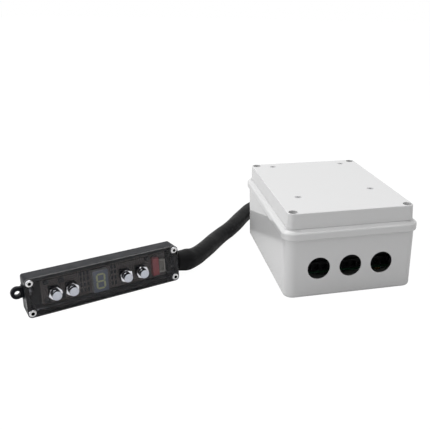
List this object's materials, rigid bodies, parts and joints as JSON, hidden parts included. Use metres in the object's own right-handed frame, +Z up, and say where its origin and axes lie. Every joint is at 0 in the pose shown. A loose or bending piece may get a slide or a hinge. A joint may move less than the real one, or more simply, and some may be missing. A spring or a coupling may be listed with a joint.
{
  "type": "pendant control station",
  "caption": "Grey plastic control box with a screwed lid and round cable holes, joined by a black sleeved cable to a slim hand pendant with push-buttons and a digit display.",
  "frame": {"origin": "centre of the control box's underside, on the surface it stands on", "axes": "+Z up; -Y is the side with the round cable holes; +X runs to the right along that side, away from the pendant"},
  "size_m": [0.3455, 0.2287, 0.0777],
  "materials": {
    "box_plastic": "light grey moulded plastic, glossy",
    "black_plastic": "black moulded plastic, satin",
    "smoked_cover": "smoked clear plastic",
    "black_rubber": "matt",
    "sleeve": "black soft sleeve with a dull sheen",
    "chrome": "polished",
    "button_face": "satin silver",
    "screw_steel": "zinc plated",
    "dark_screw": "blackened",
    "cover_screw": "bright zinc",
    "brass": "plain",
    "pendant_pcb": "dark brown laminate with solder mask",
    "green_pcb": "green solder mask",
    "chip": "moulded epoxy",
    "display_face": "grey-blue face",
    "display_bar": "unlit yellow-green diffuser",
    "red_lens": "unlit red diffuser",
    "nylon": "natural nylon",
    "laminated_steel": "varnished laminations",
    "winding": "yellow tape over enamelled copper",
    "relay_case": "blue",
    "terminal_black": "black",
    "capacitor": "shrink sleeve",
    "glass_tube": "clear",
    "aluminium": "extruded"
  },
  "bodies": {
    "root": {"enclosure_base": "box_plastic", "lid_seal": "black_rubber", "boss_inserts": "brass", "rear_grommet": "black_rubber", "main_board": "green_pcb", "board_standoffs": "brass", "board_screws": "screw_steel", "transformer_core": "laminated_steel", "transformer_coil": "winding", "mains_terminals": "terminal_black", "output_terminals": "terminal_black", "terminal_screws": "screw_steel", "relays": "relay_case", "capacitors": "capacitor", "fuse_clips": "brass", "fuse_glass": "glass_tube", "fuse_caps": "chrome", "heat_sink": "aluminium", "regulator": "chip", "pendant_header": "nylon", "harness_sleeve": "sleeve", "pendant_base": "black_plastic", "pendant_seal": "black_rubber", "pendant_cover": "smoked_cover", "cover_screws": "cover_screw", "cover_inserts": "brass", "button_barrels": "chrome", "button_washers": "black_rubber", "button_nuts": "chrome", "switch_housings": "black_plastic", "switch_springs": "screw_steel", "display_body": "display_face", "display_bars": "display_bar", "pendant_board": "pendant_pcb", "pendant_board_screws": "dark_screw", "pendant_board_chips": "chip", "led_bar": "red_lens", "cable_header": "nylon", "hang_eye": "black_plastic", "hang_eye_nut": "screw_steel", "sleeve_spigot": "black_plastic"},
    "lid": {"lid_shell": "box_plastic", "lid_mount_screws": "screw_steel", "lid_spacers": "nylon", "lid_board": "green_pcb", "lid_board_nuts": "screw_steel", "lid_board_chips": "chip"},
    "lid_screw_fl": {"lid_screw_fl": "dark_screw"},
    "lid_screw_fr": {"lid_screw_fr": "dark_screw"},
    "lid_screw_bl": {"lid_screw_bl": "dark_screw"},
    "lid_screw_br": {"lid_screw_br": "dark_screw"},
    "button_1": {"button_1_cap": "button_face"},
    "button_2": {"button_2_cap": "button_face"},
    "button_3": {"button_3_cap": "button_face"},
    "button_4": {"button_4_cap": "button_face"}
  },
  "joints": [
    {"name": "lid_lift", "type": "slide", "parent": "root", "child": "lid", "axis": [0, 0, 1], "range_m": [0, 0.06]},
    {"name": "lid_screw_fl_turn", "type": "hinge", "parent": "lid", "child": "lid_screw_fl", "pos_m": [-0.0527, -0.0706, 0.0712], "axis": [0, 0, 1], "range_deg": [0, 90]},
    {"name": "lid_screw_fr_turn", "type": "hinge", "parent": "lid", "child": "lid_screw_fr", "pos_m": [0.0527, -0.0706, 0.0712], "axis": [0, 0, 1], "range_deg": [0, 90]},
    {"name": "lid_screw_bl_turn", "type": "hinge", "parent": "lid", "child": "lid_screw_bl", "pos_m": [-0.0527, 0.0706, 0.0712], "axis": [0, 0, 1], "range_deg": [0, 90]},
    {"name": "lid_screw_br_turn", "type": "hinge", "parent": "lid", "child": "lid_screw_br", "pos_m": [0.0527, 0.0706, 0.0712], "axis": [0, 0, 1], "range_deg": [0, 90]},
    {"name": "button_1_press", "type": "slide", "parent": "root", "child": "button_1", "axis": [-0.327, 0.9427, -0.0659], "range_m": [0, 0.001], "stiffness_N_per_m": 900, "springref_m": -0.0008},
    {"name": "button_2_press", "type": "slide", "parent": "root", "child": "button_2", "axis": [-0.327, 0.9427, -0.0659], "range_m": [0, 0.001], "stiffness_N_per_m": 900, "springref_m": -0.0008},
    {"name": "button_3_press", "type": "slide", "parent": "root", "child": "button_3", "axis": [-0.327, 0.9427, -0.0659], "range_m": [0, 0.001], "stiffness_N_per_m": 900, "springref_m": -0.0008},
    {"name": "button_4_press", "type": "slide", "parent": "root", "child": "button_4", "axis": [-0.327, 0.9427, -0.0659], "range_m": [0, 0.001], "stiffness_N_per_m": 900, "springref_m": -0.0008}
  ]
}
